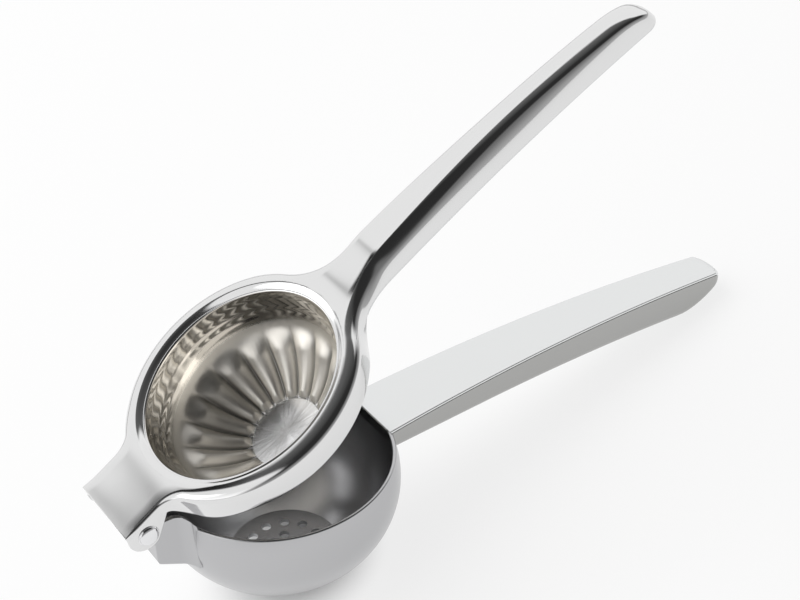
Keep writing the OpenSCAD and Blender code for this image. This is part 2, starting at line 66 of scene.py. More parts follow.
MM = 0.001
OPEN_ANGLE = math.radians(28.1)
hinge_at = Vector(frame["joints"][0]["pos_m"])
base_axis = frame["record"]["mounts"][0]["axis"]
stand_x = frame["record"]["mounts"][0]["pos_m"][0]
stance_tilt = math.atan2(-base_axis[0], -base_axis[2])
TILT = Matrix.Rotation(stance_tilt, 4, "Y")
LOWER = Matrix.Translation(hinge_at) @ TILT @ Matrix.Scale(MM, 4)
UPPER = LOWER @ Matrix.Rotation(-OPEN_ANGLE, 4, "Y")

# ---- Dimensions shared by several pieces, as in the CAD source ----

BOWL_X = 47.0
BOWL_R = 36.6
BOWL_BELLY_Z = -12.2
BOWL_DEPTH = 32.6
RING_R = 37.8
RING_TOP_Z = 5.95
RING_EDGE_Z = -4.4
RING_SHOULDER = 4.2
SHOULDER_DROP = 2.6
CREST_R = RING_R - RING_SHOULDER
LIP_R = 31.35
LIP_Z = 5.0
PLATE_FRONT = 5.0
PLATE_HALF_W = 13.6
SHEET_T = 1.5
HANDLE_X = 83.0
FLUTES = 18
FLUTE_PHASE = math.radians(5)
# Turned bodies start at this radius, which leaves a hole too small to see
AXIS_R = 0.01


def mix(a, b, t):
    return a + (b - a) * t


def ease(a, b, x):
    t = np.clip((x - a) / (b - a), 0, 1)
    return t * t * (3 - 2 * t)


def arch(peak, at, radius, x):
    return peak - (x - at) ** 2 / (2 * radius)


def bezier(p, q, r, t):
    return mix(mix(p, q, t), mix(q, r, t), t)


# ---- Mesh building ----

# Points closer together than this are one
WELD = 1e-4


def grid_faces(rows, cols, closed):
    """Quads between neighbouring rows of a grid of points."""
    pairs = [(i, (i + 1) % cols) for i in range(cols if closed else cols - 1)]
    return [
        (start + i, start + k, start + cols + k, start + cols + i)
        for start in range(0, (rows - 1) * cols, cols)
        for i, k in pairs
    ]


def build(name, body, arm, patches, materials, stands_for, sharp=35.0):
    """One welded mesh from patches (points as rows x columns x 3, closed?, material number)."""
    mesh = bpy.data.meshes.new(name)
    bm = bmesh.new()
    for points, closed, number in patches:
        rows, cols = points.shape[:2]
        made = [bm.verts.new(p) for p in points.reshape(-1, 3)]
        for quad in grid_faces(rows, cols, closed):
            face = bm.faces.new([made[k] for k in quad])
            face.material_index = number
    bmesh.ops.remove_doubles(bm, verts=bm.verts, dist=WELD)
    bmesh.ops.dissolve_degenerate(bm, edges=bm.edges, dist=WELD / 10)
    bmesh.ops.recalc_face_normals(bm, faces=bm.faces)
    bm.to_mesh(mesh)
    bm.free()
    mesh.transform(arm)
    mesh.shade_smooth()
    mesh.set_sharp_from_angle(angle=math.radians(sharp))
    piece = bpy.data.objects.new(name, mesh)
    bpy.context.scene.collection.objects.link(piece)
    for material in materials:
        mesh.materials.append(material)
    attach(piece, body)
    if stands_for:
        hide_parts(*stands_for)


def mirrored_loop(half):
    """Closes half an outline (columns x 3) by mirroring it over the X axis."""
    return np.concatenate([half, half[::-1] * [1, -1, 1]])


# ---- Shader nodes ----


def math_node(nodes, operation, *values):
    node = nodes.new("ShaderNodeMath")
    node.operation = operation
    for i, value in enumerate(values):
        if isinstance(value, (int, float)):
            node.inputs[i].default_value = value
        else:
            node.id_data.links.new(value, node.inputs[i])
    return node.outputs[0]


def chain(nodes, operation, first, *others):
    for other in others:
        first = math_node(nodes, operation, first, other)
    return first


def product(nodes, *values):
    return chain(nodes, "MULTIPLY", *values)


def total(nodes, *values):
    return chain(nodes, "ADD", *values)


def one_minus(nodes, value):
    return math_node(nodes, "SUBTRACT", 1, value)


def smooth_range(nodes, value, low, high, out_low=0.0, out_high=1.0):
    node = nodes.new("ShaderNodeMapRange")
    node.interpolation_type = "SMOOTHSTEP"
    node.id_data.links.new(value, node.inputs["Value"])
    for key, number in (("From Min", low), ("From Max", high),
                        ("To Min", out_low), ("To Max", out_high)):
        node.inputs[key].default_value = number
    return node.outputs["Result"]


def vector_node(nodes, operation, vector, constant):
    node = nodes.new("ShaderNodeVectorMath")
    node.operation = operation
    node.id_data.links.new(vector, node.inputs[0])
    node.inputs[1].default_value = constant
    return node


def noise(nodes, place, scale, detail):
    node = nodes.new("ShaderNodeTexNoise")
    node.inputs["Scale"].default_value = scale
    node.inputs["Detail"].default_value = detail
    node.id_data.links.new(place, node.inputs["Vector"])
    return node.outputs["Fac"]


def mix_colour(nodes, factor, first, second):
    """From first to second, each a colour or the output of a node."""
    node = nodes.new("ShaderNodeMix")
    node.data_type = "RGBA"
    node.id_data.links.new(factor, node.inputs["Factor"])
    for key, colour in (("A", first), ("B", second)):
        if isinstance(colour, tuple):
            node.inputs[key].default_value = (*colour, 1)
        else:
            node.id_data.links.new(colour, node.inputs[key])
    return node.outputs["Result"]


def bump(nodes, height, strength, distance):
    node = nodes.new("ShaderNodeBump")
    node.inputs["Strength"].default_value = strength
    node.inputs["Distance"].default_value = distance
    node.id_data.links.new(height, node.inputs["Height"])
    return node.outputs["Normal"]


# ---- Steel ----


def metal(name):
    material = bpy.data.materials.new(name)
    material.use_nodes = True
    shader = material.node_tree.nodes["Principled BSDF"]
    shader.inputs["Metallic"].default_value = 1.0
    return material, shader


# Cells for each metre in the clouds of the polish and in the fine grinding lines
CLOUD_SCALE, GRAIN_SCALE = 35, 60
GRAIN_DEPTH = 0.1 * MM


def steel(name, colour, roughness, grain=0.0, grain_stretch=(1, 1, 1), rough_spread=0.04):
    """Polished sheet steel: cloudy roughness, slight colour change and fine grinding lines."""
    material, shader = metal(name)
    nodes, links = material.node_tree.nodes, material.node_tree.links
    place = nodes.new("ShaderNodeTexCoord").outputs["Object"]
    cloud = noise(nodes, place, CLOUD_SCALE, 3)
    spread = smooth_range(nodes, cloud, 0.2, 0.8,
                          max(0.02, roughness - rough_spread), roughness + rough_spread)
    links.new(spread, shader.inputs["Roughness"])
    tone = mix_colour(nodes, cloud, tuple(c * 0.97 for c in colour),
                      tuple(min(1, c * 1.02) for c in colour))
    links.new(tone, shader.inputs["Base Color"])
    if grain:
        stretch = nodes.new("ShaderNodeMapping")
        stretch.inputs["Scale"].default_value = grain_stretch
        links.new(place, stretch.inputs["Vector"])
        lines = noise(nodes, stretch.outputs["Vector"], GRAIN_SCALE, 4)
        links.new(bump(nodes, lines, grain, GRAIN_DEPTH), shader.inputs["Normal"])
    return material


# Heights in the cup between which one finish passes into the next, and over which the painted
# shade in the grooves grows
BAND_TO_FLUTES = -3, -7
GROOVE_SHADE_DEEPENS = -8, -12
WALL_TO_END = -21.6, -22.2
# Roughness of the band and of the flutes, and what the end and the flutes' lines add to it
BAND_ROUGH, FLUTE_ROUGH, END_ADDS, LINES_ADD = 0.06, 0.36, -0.22, 0.10
# The warm tints of the band and the flutes are a painted reflection, and the flutes are painted
# lighter than the band
BAND_COLOUR, FLUTE_COLOUR = (0.74, 0.71, 0.66), (0.88, 0.85, 0.79)
# The near-white end is painted light; the near-black groove colour, mixed in up to this share, is
# painted shade between the flutes
END_COLOUR, GROOVE_SHADE_COLOUR = (0.95, 0.95, 0.95), (0.10, 0.10, 0.10)
GROOVE_SHADE_SHARE = 0.6
# Ripples of the band: radians for each millimetre of height, and radians that noise adds
RIPPLE_TURN, RIPPLE_WAVER = 2.6, 9.0
RIPPLE_DEPTH = 0.08, 0.45
LINE_DEPTH = 0.6
CUP_RELIEF = 0.06 * MM


def cup_finish():
    """Drawn steel: a mirror band with ripples round it, satin flutes with lines along them."""
    material, shader = metal("cup_steel")
    nodes, links = material.node_tree.nodes, material.node_tree.links
    place = nodes.new("ShaderNodeTexCoord").outputs["Object"]
    from_cup = vector_node(nodes, "SUBTRACT", place, UPPER @ Vector((BOWL_X, 0, 0)))
    x, y, height = (
        vector_node(nodes, "DOT_PRODUCT", from_cup.outputs["Vector"],
                    axis.normalized() / MM).outputs["Value"]
        for axis in UPPER.to_3x3().col
    )
    angle = math_node(nodes, "ARCTAN2", y, x)
    in_flutes = smooth_range(nodes, height, *BAND_TO_FLUTES)
    on_end = smooth_range(nodes, height, *WALL_TO_END)

    def streaks(per_radian, per_mm, detail):
        spot = nodes.new("ShaderNodeCombineXYZ")
        links.new(product(nodes, angle, per_radian), spot.inputs["X"])
        links.new(product(nodes, height, per_mm), spot.inputs["Y"])
        return noise(nodes, spot.outputs["Vector"], 1, detail)

    # Ripples run round the band in long wavering lines, deeper in some places than in others
    waver = product(nodes, streaks(0.7, 0.06, 1), RIPPLE_WAVER)
    ripples = math_node(nodes, "SINE", total(nodes, waver, product(nodes, height, RIPPLE_TURN)))
    depth = smooth_range(nodes, streaks(1.1, 0.3, 0), 0.35, 0.65, *RIPPLE_DEPTH)
    lines = streaks(60, 0.12, 4)
    relief = total(nodes, product(nodes, ripples, depth, one_minus(nodes, in_flutes)),
                   product(nodes, lines, in_flutes, LINE_DEPTH))
    links.new(bump(nodes, relief, 1.0, CUP_RELIEF), shader.inputs["Normal"])

    rough = total(nodes, smooth_range(nodes, in_flutes, 0, 1, BAND_ROUGH, FLUTE_ROUGH),
                  smooth_range(nodes, on_end, 0, 1, 0, END_ADDS),
                  product(nodes, lines, in_flutes, LINES_ADD))
    links.new(rough, shader.inputs["Roughness"])

    # Painted shade darkens the grooves between the bars
    half_turn = product(nodes, math_node(nodes, "SUBTRACT", angle, FLUTE_PHASE), FLUTES / 2)
    wave = math_node(nodes, "ABSOLUTE", math_node(nodes, "COSINE", half_turn))
    groove = product(nodes, smooth_range(nodes, wave, 0.10, 0.55, GROOVE_SHADE_SHARE, 0.0),
                     smooth_range(nodes, height, *GROOVE_SHADE_DEEPENS), one_minus(nodes, on_end))
    # The zone colours carry painted reflection and painted light, and the grooves painted shade
    tint = mix_colour(nodes, in_flutes, BAND_COLOUR, FLUTE_COLOUR)
    tint = mix_colour(nodes, on_end, tint, END_COLOUR)
    tint = mix_colour(nodes, groove, tint, GROOVE_SHADE_COLOUR)
    links.new(tint, shader.inputs["Base Color"])
    return material


pressed_steel = steel("pressed_steel", (0.76, 0.76, 0.76), 0.10)
plate_steel = steel("plate_steel", (0.78, 0.79, 0.79), 0.22, grain=0.2,
                    grain_stretch=(0.4, 8, 8))
# The bowl and the handle shell are painted darker than the upper arm's steel: painted shade for
# the darker reflections they show
bowl_steel = steel("bowl_steel", (0.52, 0.52, 0.53), 0.26, rough_spread=0.02)
shell_steel_painted_dark = steel("shell_steel_painted_dark", (0.43, 0.43, 0.42), 0.20)
cup_steel = cup_finish()
rivet_steel = steel("rivet_steel", (0.80, 0.80, 0.81), 0.06)

# ---- Outline of the upper arm ----

ROOT_W, TAPER = 9.6, 0.032
TIP_R, REACH = 5.5, 207.0
TIP_X = REACH - TIP_R
NOSE_LEN, NOSE_POWER = 14.8, 2.3
WALL_SLOPE = math.tan(math.radians(53))
UPPER_PLATE_T = 0.6
PLATE_FILLET_R, NECK_FILLET_R = 8.0, 22.0


def upper_w(x):
    """Half the width of the upper handle."""
    return ROOT_W - TAPER * (x - HANDLE_X)


def arc_run(centre, radius, start, end, steps, side):
    """Points of an arc and the directions in which they move when the outline is drawn inward."""
    a = np.radians(np.linspace(start, end, steps + 1))
    u = np.stack([np.cos(a), np.sin(a)], 1)
    return np.array(centre) + radius * u, side * u


def upper_outline():
    """Half of the outline from the front corner to the handle's end, with inset directions."""
    fillet_y = PLATE_HALF_W + PLATE_FILLET_R
    fillet_x = BOWL_X - math.sqrt((RING_R + PLATE_FILLET_R) ** 2 - fillet_y**2)
    fillet_end = -math.degrees(math.asin(fillet_y / (RING_R + PLATE_FILLET_R)))
    slant = math.sqrt(1 + TAPER * TAPER)
    lean = math.degrees(math.atan(TAPER))
    k = upper_w(0) + NECK_FILLET_R * slant
    b = BOWL_X + TAPER * k
    c = BOWL_X**2 + k * k - (RING_R + NECK_FILLET_R) ** 2
    neck_x = (b + math.sqrt(b * b - slant * slant * c)) / (slant * slant)
    neck_y = k - TAPER * neck_x
    neck_angle = math.degrees(math.atan2(neck_y, neck_x - BOWL_X))
    side_from = neck_x - NECK_FILLET_R * math.sin(math.radians(lean))
    tip_y = upper_w(TIP_X) - TIP_R * slant
    side_to = TIP_X + TIP_R * math.sin(math.radians(lean))

    front = np.array([[x, PLATE_HALF_W]
                      for x in np.linspace(0.6 - PLATE_FRONT, fillet_x - 0.6, 12)])
    xs = np.linspace(side_from, side_to, 90)[1:-1]
    side = np.stack([xs, upper_w(xs)], 1)
    normal = [-math.sin(math.radians(lean)), -math.cos(math.radians(lean))]
    runs = [
        (np.array([[-PLATE_FRONT, PLATE_HALF_W]]), np.array([[1.0, -1.0]])),
        (front, np.tile([0.0, -1.0], (len(front), 1))),
        arc_run([fillet_x, fillet_y], PLATE_FILLET_R, -90, fillet_end, 20, 1),
        tuple(r[1:-1] for r in arc_run([BOWL_X, 0], RING_R, 180 + fillet_end, neck_angle,
                                       110, -1)),
        arc_run([neck_x, neck_y], NECK_FILLET_R, 180 + neck_angle, 270 - lean, 30, 1),
        (side, np.tile(normal, (len(side), 1))),
        arc_run([TIP_X, tip_y], TIP_R, 90 - lean, 1.5, 26, -1),
    ]
    return np.concatenate([r[0] for r in runs]), np.concatenate([r[1] for r in runs])


# ---- Section of the upper arm ----

PLATE_TOP_Z, PLATE_EDGE_Z, PLATE_UNDER_Z, UNDER_Z = 5.3, 1.6, 3.9, 4.4
# Peak, its place and radius for the arches of the crest and of the handle's lower rim
CREST_ARCH = 9.8, 127, 515
RIM_ARCH = 0.7, 113, 860
SKIRT_INSET = 1.4
# Stations between which one form passes into the next
TOP_PLATE_TO_RING, TOP_RING_TO_HANDLE = (-PLATE_FRONT, 14), (80, 102)
EDGE_PLATE_TO_RING, EDGE_RING_TO_HANDLE = (8, 14.4), (77.5, 87.5)
UNDER_PLATE_TO_RING, UNDER_RING_TO_HANDLE = (2, 11), (82, 96)
PLATE_TO_RING, RING_TO_HANDLE = (6, 20), (72, 97)
SKIRT_DRAWS_IN = 14, 30


def upper_top(x):
    front = mix(PLATE_TOP_Z, RING_TOP_Z, ease(*TOP_PLATE_TO_RING, x))
    rear = mix(RING_TOP_Z, arch(*CREST_ARCH, x), ease(*TOP_RING_TO_HANDLE, x))
    return np.where(x < BOWL_X, front, rear)


def upper_edge(x):
    front = mix(PLATE_EDGE_Z, RING_EDGE_Z, ease(*EDGE_PLATE_TO_RING, x))
    rear = mix(RING_EDGE_Z, arch(*RIM_ARCH, x) + UPPER_PLATE_T, ease(*EDGE_RING_TO_HANDLE, x))
    return np.where(x < BOWL_X, front, rear)


def upper_under(x):
    front = mix(PLATE_UNDER_Z, UNDER_Z, ease(*UNDER_PLATE_TO_RING, x))
    rear = mix(UNDER_Z, upper_top(x) - SHEET_T, ease(*UNDER_RING_TO_HANDLE, x))
    return np.where(x < BOWL_X, front, rear)


def upper_section(x):
    """Five control points (inset, drop) of the section at each x: array columns x 5 x 2."""
    one = np.ones_like(x)
    depth = upper_top(x) - upper_edge(x)
    skirt = SKIRT_INSET * ease(*SKIRT_DRAWS_IN, x)

    def rows(*points):
        return np.stack([np.stack([a * one, b * one], -1) for a, b in points], 1)

    tip = rows((0.3, 0), (0, 0), (0, 0.3), (0, 0.8), (0, 1.4))
    plate = rows((1.2, 0), (0, 0), (0, 1.2), (0, 2), (0, depth))
    ring = rows((RING_SHOULDER, 0), (0.3, 0.27), (0, SHOULDER_DROP), (0.1, 6.5), (skirt, depth))
    # Half widths of the handle's flat top and of its crest, and the bend down to its wall
    width = upper_w(x)
    narrow = mix(5.4, 0.4, ease(80, 190, x))
    flat = np.where(x > TIP_X, np.maximum(narrow, width - TIP_R + 0.05), narrow)
    crest_w = mix(6.0, 3.8, ease(75, 165, x))
    bend = mix(2.3, 0.8, ease(85, 170, x)) * mix(0.7, 1, ease(82, 108, x))
    turn = width - crest_w - bend
    handle = rows(
        (width - flat, 0),
        (width - crest_w, 0),
        (turn, bend * WALL_SLOPE),
        (0.4, (bend + turn - 0.4) * WALL_SLOPE),
        (0, depth),
    )
    at_tip = (1 - ease(-PLATE_FRONT, 0, x))[:, None, None]
    at_ring = ease(*PLATE_TO_RING, x)[:, None, None]
    at_handle = ease(*RING_TO_HANDLE, x)[:, None, None]
    return mix(mix(plate, tip, at_tip), mix(ring, handle, at_handle), at_ring)


def rolled(x, z):
    """Towards the end of the handle its height above the lower edge shrinks on a full curve."""
    t = np.clip((x - REACH + NOSE_LEN) / (NOSE_LEN + 0.3), 0, 1)
    return mix(upper_edge(x), z, (1 - t**NOSE_POWER) ** (1 / NOSE_POWER))


outline, inward = upper_outline()
sections = upper_section(outline[:, 0])


def placed(inset, z, roll=False):
    """Outline drawn inward by inset, at height z, as a closed loop."""
    p = outline + inward * np.broadcast_to(inset, len(outline))[:, None]
    z = np.broadcast_to(z, len(outline))
    return mirrored_loop(np.stack([p[:, 0], p[:, 1], rolled(p[:, 0], z) if roll else z], 1))


def surface_row(section_points):
    """A closed loop of the outer surface. It stays outside the crest circle round the cup."""
    p = outline + inward * section_points[:, :1]
    from_centre = np.hypot(p[:, 0] - BOWL_X, p[:, 1])
    out = np.maximum(1, CREST_R / from_centre)
    x, y = BOWL_X + (p[:, 0] - BOWL_X) * out, p[:, 1] * out
    return mirrored_loop(np.stack([x, y, rolled(x, upper_top(x) - section_points[:, 1])], 1))


def hub_row(edge):
    """What each point of an edge row is joined to on the top: the middle line of the hinge plate
    and of the handle, and the crest circle round the cup."""
    x, y = edge[:, 0], edge[:, 1]
    angle = np.degrees(np.arctan2(y, x - BOWL_X))
    before, behind = BOWL_X - CREST_R, BOWL_X + CREST_R
    angle = mix(mix(180, angle, ease(before, before + 6, x)), 0, ease(behind - 8.6, behind, x))
    turn = np.radians(angle)
    on_circle = np.stack([BOWL_X + CREST_R * np.cos(turn), CREST_R * np.sin(turn)], 1)
    on_line = np.stack([x, np.zeros_like(x)], 1)
    return np.where(((x > before) & (x < behind))[:, None], on_circle, on_line)


def top_patch(edge, height, steps=5):
    """Sheet between the hub and an edge row of half the outline, in both halves."""
    hub = hub_row(edge)
    rows = []
    for t in np.linspace(0, 1, steps):
        x, y = mix(hub, edge, t).T
        rows.append(np.stack([x, y, rolled(x, height(x))], 1))
    half = np.array(rows)
    return [(half, False, 0), (half * [1, -1, 1], False, 0)]


def revolved(profile, centre, divisions=288):
    """Closed grid from a profile of (radius, height) points."""
    a = np.linspace(0, 2 * math.pi, divisions, endpoint=False)
    return np.array([
        np.stack([centre + r * np.cos(a), r * np.sin(a), np.full_like(a, z)], 1)
        for r, z in profile
    ])


EAR_R, EAR_EDGE_R = 5.08, 0.3
EAR_X, EAR_Z = -0.8, 0.9
EAR_HUB_X, EAR_HUB_Z = 1.0, 1.5
EAR_SKIN = 0.004
EAR_ROOT_X, EAR_ROOT_Z = 8.3, 1.5
EAR_TOP_Z = 4.1


def ear_outline(inset):
    """Side view of an ear: a round lobe with a straight edge back to the ring's skirt."""
    span = Vector((EAR_ROOT_X - EAR_X, EAR_ROOT_Z - EAR_Z))
    tangent = math.degrees(math.atan2(span.y, span.x) - math.acos(EAR_R / span.length))
    a = np.radians(np.linspace(176, 360 + tangent, 60))
    r = EAR_R - inset
    lobe = np.stack([EAR_X + r * np.cos(a), EAR_Z + r * np.sin(a)], 1)
    shift = inset * np.array([-math.cos(a[-1]), -math.sin(a[-1])])
    root = np.array([EAR_ROOT_X, EAR_ROOT_Z]) + shift
    back = [mix(lobe[-1], root, t) for t in np.linspace(0, 1, 8)[1:]]
    top = [(EAR_ROOT_X, EAR_TOP_Z), (3.0, EAR_TOP_Z), (0.1 - PLATE_FRONT + inset, EAR_TOP_Z)]
    return np.concatenate([lobe, back, top])


def ear(side):
    """The ear's outer face lies a hair outside the folded edge of the hinge plate."""
    outer, inner = PLATE_HALF_W + EAR_SKIN, PLATE_HALF_W - SHEET_T
    rows = []
    for inset, y in ((EAR_EDGE_R, outer), (0.18, outer - 0.03), (0.06, outer - 0.12),
                     (0, outer - EAR_EDGE_R), (0, inner + 0.15), (0.15, inner)):
        x, z = ear_outline(inset).T
        rows.append(np.stack([x, np.full_like(x, side * y), z], 1))
    hubs = [np.tile([EAR_HUB_X, row[0, 1], EAR_HUB_Z], (len(row), 1))
            for row in (rows[0], rows[-1])]
    # The inner hub comes before the last row, so the inner face is a cone and a disc over it
    return np.array([hubs[0], *rows[:-1], hubs[1], rows[-1]]), True, 0


SLOPE_R = 31.4


def upper_arm():
    x = outline[:, 0]
    top_rows = [surface_row(bezier(sections[:, 0], sections[:, 1], sections[:, 2], t))
                for t in np.linspace(0, 1, 14)]
    wall_end = sections[:, 4] - [0, 0.25]
    wall_rows = [surface_row(bezier(sections[:, 2], sections[:, 3], wall_end, t))
                 for t in np.linspace(0, 1, 13)[1:]]
    # The hinge plate's front is the bare edge of the sheet and isn't folded down
    edge = np.where(x < 0.5 - PLATE_FRONT, upper_under(x) - 0.2, upper_edge(x))
    foot = sections[:, 4, 0]
    rim_rows = [placed(foot + inset, edge + lift) for inset, lift in (
        (0.08, 0.06), (0.25, 0), (SHEET_T - 0.25, 0), (SHEET_T, 0.25))]
    handle = ease(*RING_TO_HANDLE, x)
    wall = bezier(sections[:, 2], sections[:, 3], sections[:, 4], 0.3)
    low_d = wall[:, 0] + SHEET_T - 0.2 * handle
    low_z = np.minimum(upper_top(x) - wall[:, 1] - 0.8 * handle, upper_under(x))
    high_d = mix(2.8, sections[:, 1, 0] + 0.6, handle)
    inner_rows = [placed(low_d, low_z, roll=True), placed(high_d, upper_under(x), roll=True)]
    shell = np.array(top_rows + wall_rows + rim_rows + inner_rows)
    half = len(outline)
    patches = [(shell, True, 0)]
    patches += top_patch(shell[0][:half, :2], upper_top)
    patches += top_patch(shell[-1][:half, :2], upper_under, steps=2)
    t = np.linspace(0, 1, 15)
    rise = mix(1 - (1 - t) ** 2, ease(0, 1, t), 0.6)
    slope = np.stack([mix(SLOPE_R, CREST_R, t), mix(LIP_Z, RING_TOP_Z, rise)], 1)
    slope = [(SLOPE_R, UNDER_Z), *slope]
    patches.append((revolved(slope, BOWL_X), True, 0))
    under = [(SLOPE_R, UNDER_Z), (CREST_R, UNDER_Z)]
    patches.append((revolved(under, BOWL_X), True, 0))
    patches += [ear(side) for side in (-1, 1)]
    build("ring_arm", "press_arm", UPPER, patches, [pressed_steel], ["upper_arm"])


upper_arm()

# ---- Closing plate of the upper handle ----

PLATE_FROM_X = 86


def end_caps(grid):
    """Flat patches over the first and the last row of a grid of mirrored loops."""
    half = grid.shape[1] // 2
    return [(np.stack([row[:half], row[::-1][:half]]), False, 0) for row in (grid[0], grid[-1])]


def upper_plate():
    keep = outline[:, 0] > PLATE_FROM_X
    half_keep = np.concatenate([keep, keep[::-1]])
    x = outline[:, 0]
    foot, edge = sections[:, 4, 0], upper_edge(x)
    rows = [placed(foot + inset, edge - drop)[half_keep] for inset, drop in (
        (SHEET_T, 0), (0.3, 0), (0.16, 0.08), (0.12, 0.3), (0.2, 0.48), (0.4, UPPER_PLATE_T))]
    grid = np.array(rows)
    build("handle_plate", "press_arm", UPPER, [(grid, True, 0), *end_caps(grid)],
          [plate_steel], ["upper_handle_plate"])


upper_plate()

# ---- Press cup ----

MOUTH_R = 30.8
CUP_ARC_R = 38.2
CUP_T = 1.0
FLUTE_DEPTH = 1.9
LIP_SLOPE, END_SLOPE = 8.1, 59.0
FLUTES_SWELL = 27, 38
FLANGE_R, FLANGE_UNDER_Z = 34.5, 3.4
CUP_CX = MOUTH_R - CUP_ARC_R * math.cos(math.radians(LIP_SLOPE))
CUP_CZ = LIP_Z + CUP_ARC_R * math.sin(math.radians(LIP_SLOPE))


def flute_bar(angle):
    """1 on the middle of a bar and near 0 in the groove between two bars."""
    wave = np.abs(np.cos(FLUTES * (angle - FLUTE_PHASE) / 2))
    return (wave**2 + 0.002) ** 0.35


def cup_row(slope, thick, divisions):
    a = np.linspace(0, 2 * math.pi, divisions, endpoint=False)
    swell = FLUTE_DEPTH * ease(*FLUTES_SWELL, slope)
    r = CUP_ARC_R + thick - swell * flute_bar(a)
    s = math.radians(slope)
    reach = CUP_CX + r * math.cos(s)
    return np.stack([BOWL_X + reach * np.cos(a), reach * np.sin(a), CUP_CZ - r * math.sin(s)], 1)


def cup_ring(radius, z, divisions):
    return revolved([(radius, z)], BOWL_X, divisions)[0]


def press_cup():
    n = FLUTES * 30
    end_r = CUP_CX + (CUP_ARC_R - FLUTE_DEPTH) * math.cos(math.radians(END_SLOPE)) - 0.5
    end_z = CUP_CZ - CUP_ARC_R * math.sin(math.radians(END_SLOPE))
    inner = [cup_ring(r, end_z, n) for r in (AXIS_R, 4, 8, end_r - 1, end_r)]
    inner += [cup_row(s, 0, n) for s in np.linspace(END_SLOPE - 1.5, LIP_SLOPE + 0.6, 70)]
    lip = [cup_ring(r, z, n) for r, z in (
        (MOUTH_R + 0.06, LIP_Z - 0.16), (MOUTH_R + 0.3, LIP_Z), (LIP_R + 0.04, LIP_Z),
        (LIP_R + 0.04, UNDER_Z), (FLANGE_R, UNDER_Z), (FLANGE_R, FLANGE_UNDER_Z),
        (31.6, FLANGE_UNDER_Z))]
    outer = [cup_row(s, CUP_T, n) for s in np.linspace(12, 57.5, 40)]
    outer += [cup_ring(r, end_z - CUP_T, n) for r in (end_r + 0.6, 6, AXIS_R)]
    patches = [
        (np.array(inner + lip[:1]), True, 0),
        (np.array(lip), True, 1),
        (np.array([lip[-1], *outer]), True, 0),
    ]
    build("fluted_cup", "press_arm", UPPER, patches, [cup_steel, pressed_steel],
          ["press_cup"], sharp=40)


press_cup()

# ---- Lower handle ----

LOWER_REACH = 211.2
PLATE_T = 0.8
LOWER_CORNER_R, LOWER_END_R = 3.0, 18.0
LOWER_ROOT_W, LOWER_TAPER = 11.25, 0.041
LOWER_TOP_ARCH = -1.75, 141, 690
LOWER_BOTTOM_Z, SWEEP_X, SWEEP_R = -12, 115, 757
TIP_RISE, TIP_RISE_LEN, TIP_RISE_POWER = 8.3, 17.5, 1.8
# The handle's first points start here and are moved into the bowl's wall
LOWER_FROM_X, LOWER_OWN_X = 81.5, 110


def lower_w(x):
    """Half the width of the lower handle."""
    return LOWER_ROOT_W - LOWER_TAPER * (x - HANDLE_X)


def lower_top(x):
    return arch(*LOWER_TOP_ARCH, x)


def lower_bottom(x):
    past_root = np.maximum(SWEEP_X, x)
    at_tip = np.maximum(0, (x - LOWER_REACH + TIP_RISE_LEN) / TIP_RISE_LEN)
    return arch(LOWER_BOTTOM_Z, SWEEP_X, SWEEP_R, past_root) + TIP_RISE * at_tip**TIP_RISE_POWER


def bowl_radius(z):
    return BOWL_R * np.sqrt(1 - ((z - BOWL_BELLY_Z) / BOWL_DEPTH) ** 2)


def lower_outline():
    corner_y = lower_w(LOWER_REACH - 2) - LOWER_CORNER_R
    reach = LOWER_END_R - LOWER_CORNER_R
    corner_x = LOWER_REACH - LOWER_END_R + math.sqrt(reach**2 - corner_y**2)
    corner_end = math.degrees(math.asin(corner_y / reach))
    xs = np.linspace(LOWER_FROM_X, corner_x, 70)[:-1]
    side = np.stack([xs, lower_w(xs)], 1)
    corner, corner_in = arc_run([corner_x, corner_y], LOWER_CORNER_R, 90, corner_end, 12, -1)
    end, end_in = arc_run([LOWER_REACH - LOWER_END_R, 0], LOWER_END_R, corner_end, 0.5, 10, -1)
    return (
        np.concatenate([side, corner, end[1:]]),
        np.concatenate([np.tile([0.0, -1.0], (len(side), 1)), corner_in, end_in[1:]]),
    )


low_outline, low_inward = lower_outline()


def lower_row(inset, height):
    """A loop of the lower handle. Its first points run into the wall of the bowl."""
    at_end = low_inward[:, 0] < -1e-6
    shift = np.where(at_end, np.minimum(inset, LOWER_CORNER_R - 0.4 + inset / 10), inset)
    p = low_outline + low_inward * shift[:, None]
    z = height(p[:, 0])
    start = BOWL_X + np.sqrt((bowl_radius(z[0]) - 0.5) ** 2 - p[0, 1] ** 2)
    fade = 1 - ease(LOWER_FROM_X, LOWER_OWN_X, low_outline[:, 0])
    p[:, 0] += (start - p[0, 0]) * fade
    return mirrored_loop(np.stack([p[:, 0], p[:, 1], height(p[:, 0])], 1))


def from_top(drop):
    return lambda x: lower_top(x) - drop


def from_bottom(lift):
    return lambda x: lower_bottom(x) + np.minimum(
        lift, 0.6 * (lower_top(x) - PLATE_T - lower_bottom(x)))


def lower_handle(name, rows, material, node):
    grid = np.array([lower_row(inset, height) for inset, height in rows])
    build(name, "lower_arm", LOWER, [(grid, True, 0), *end_caps(grid)], [material], [node])


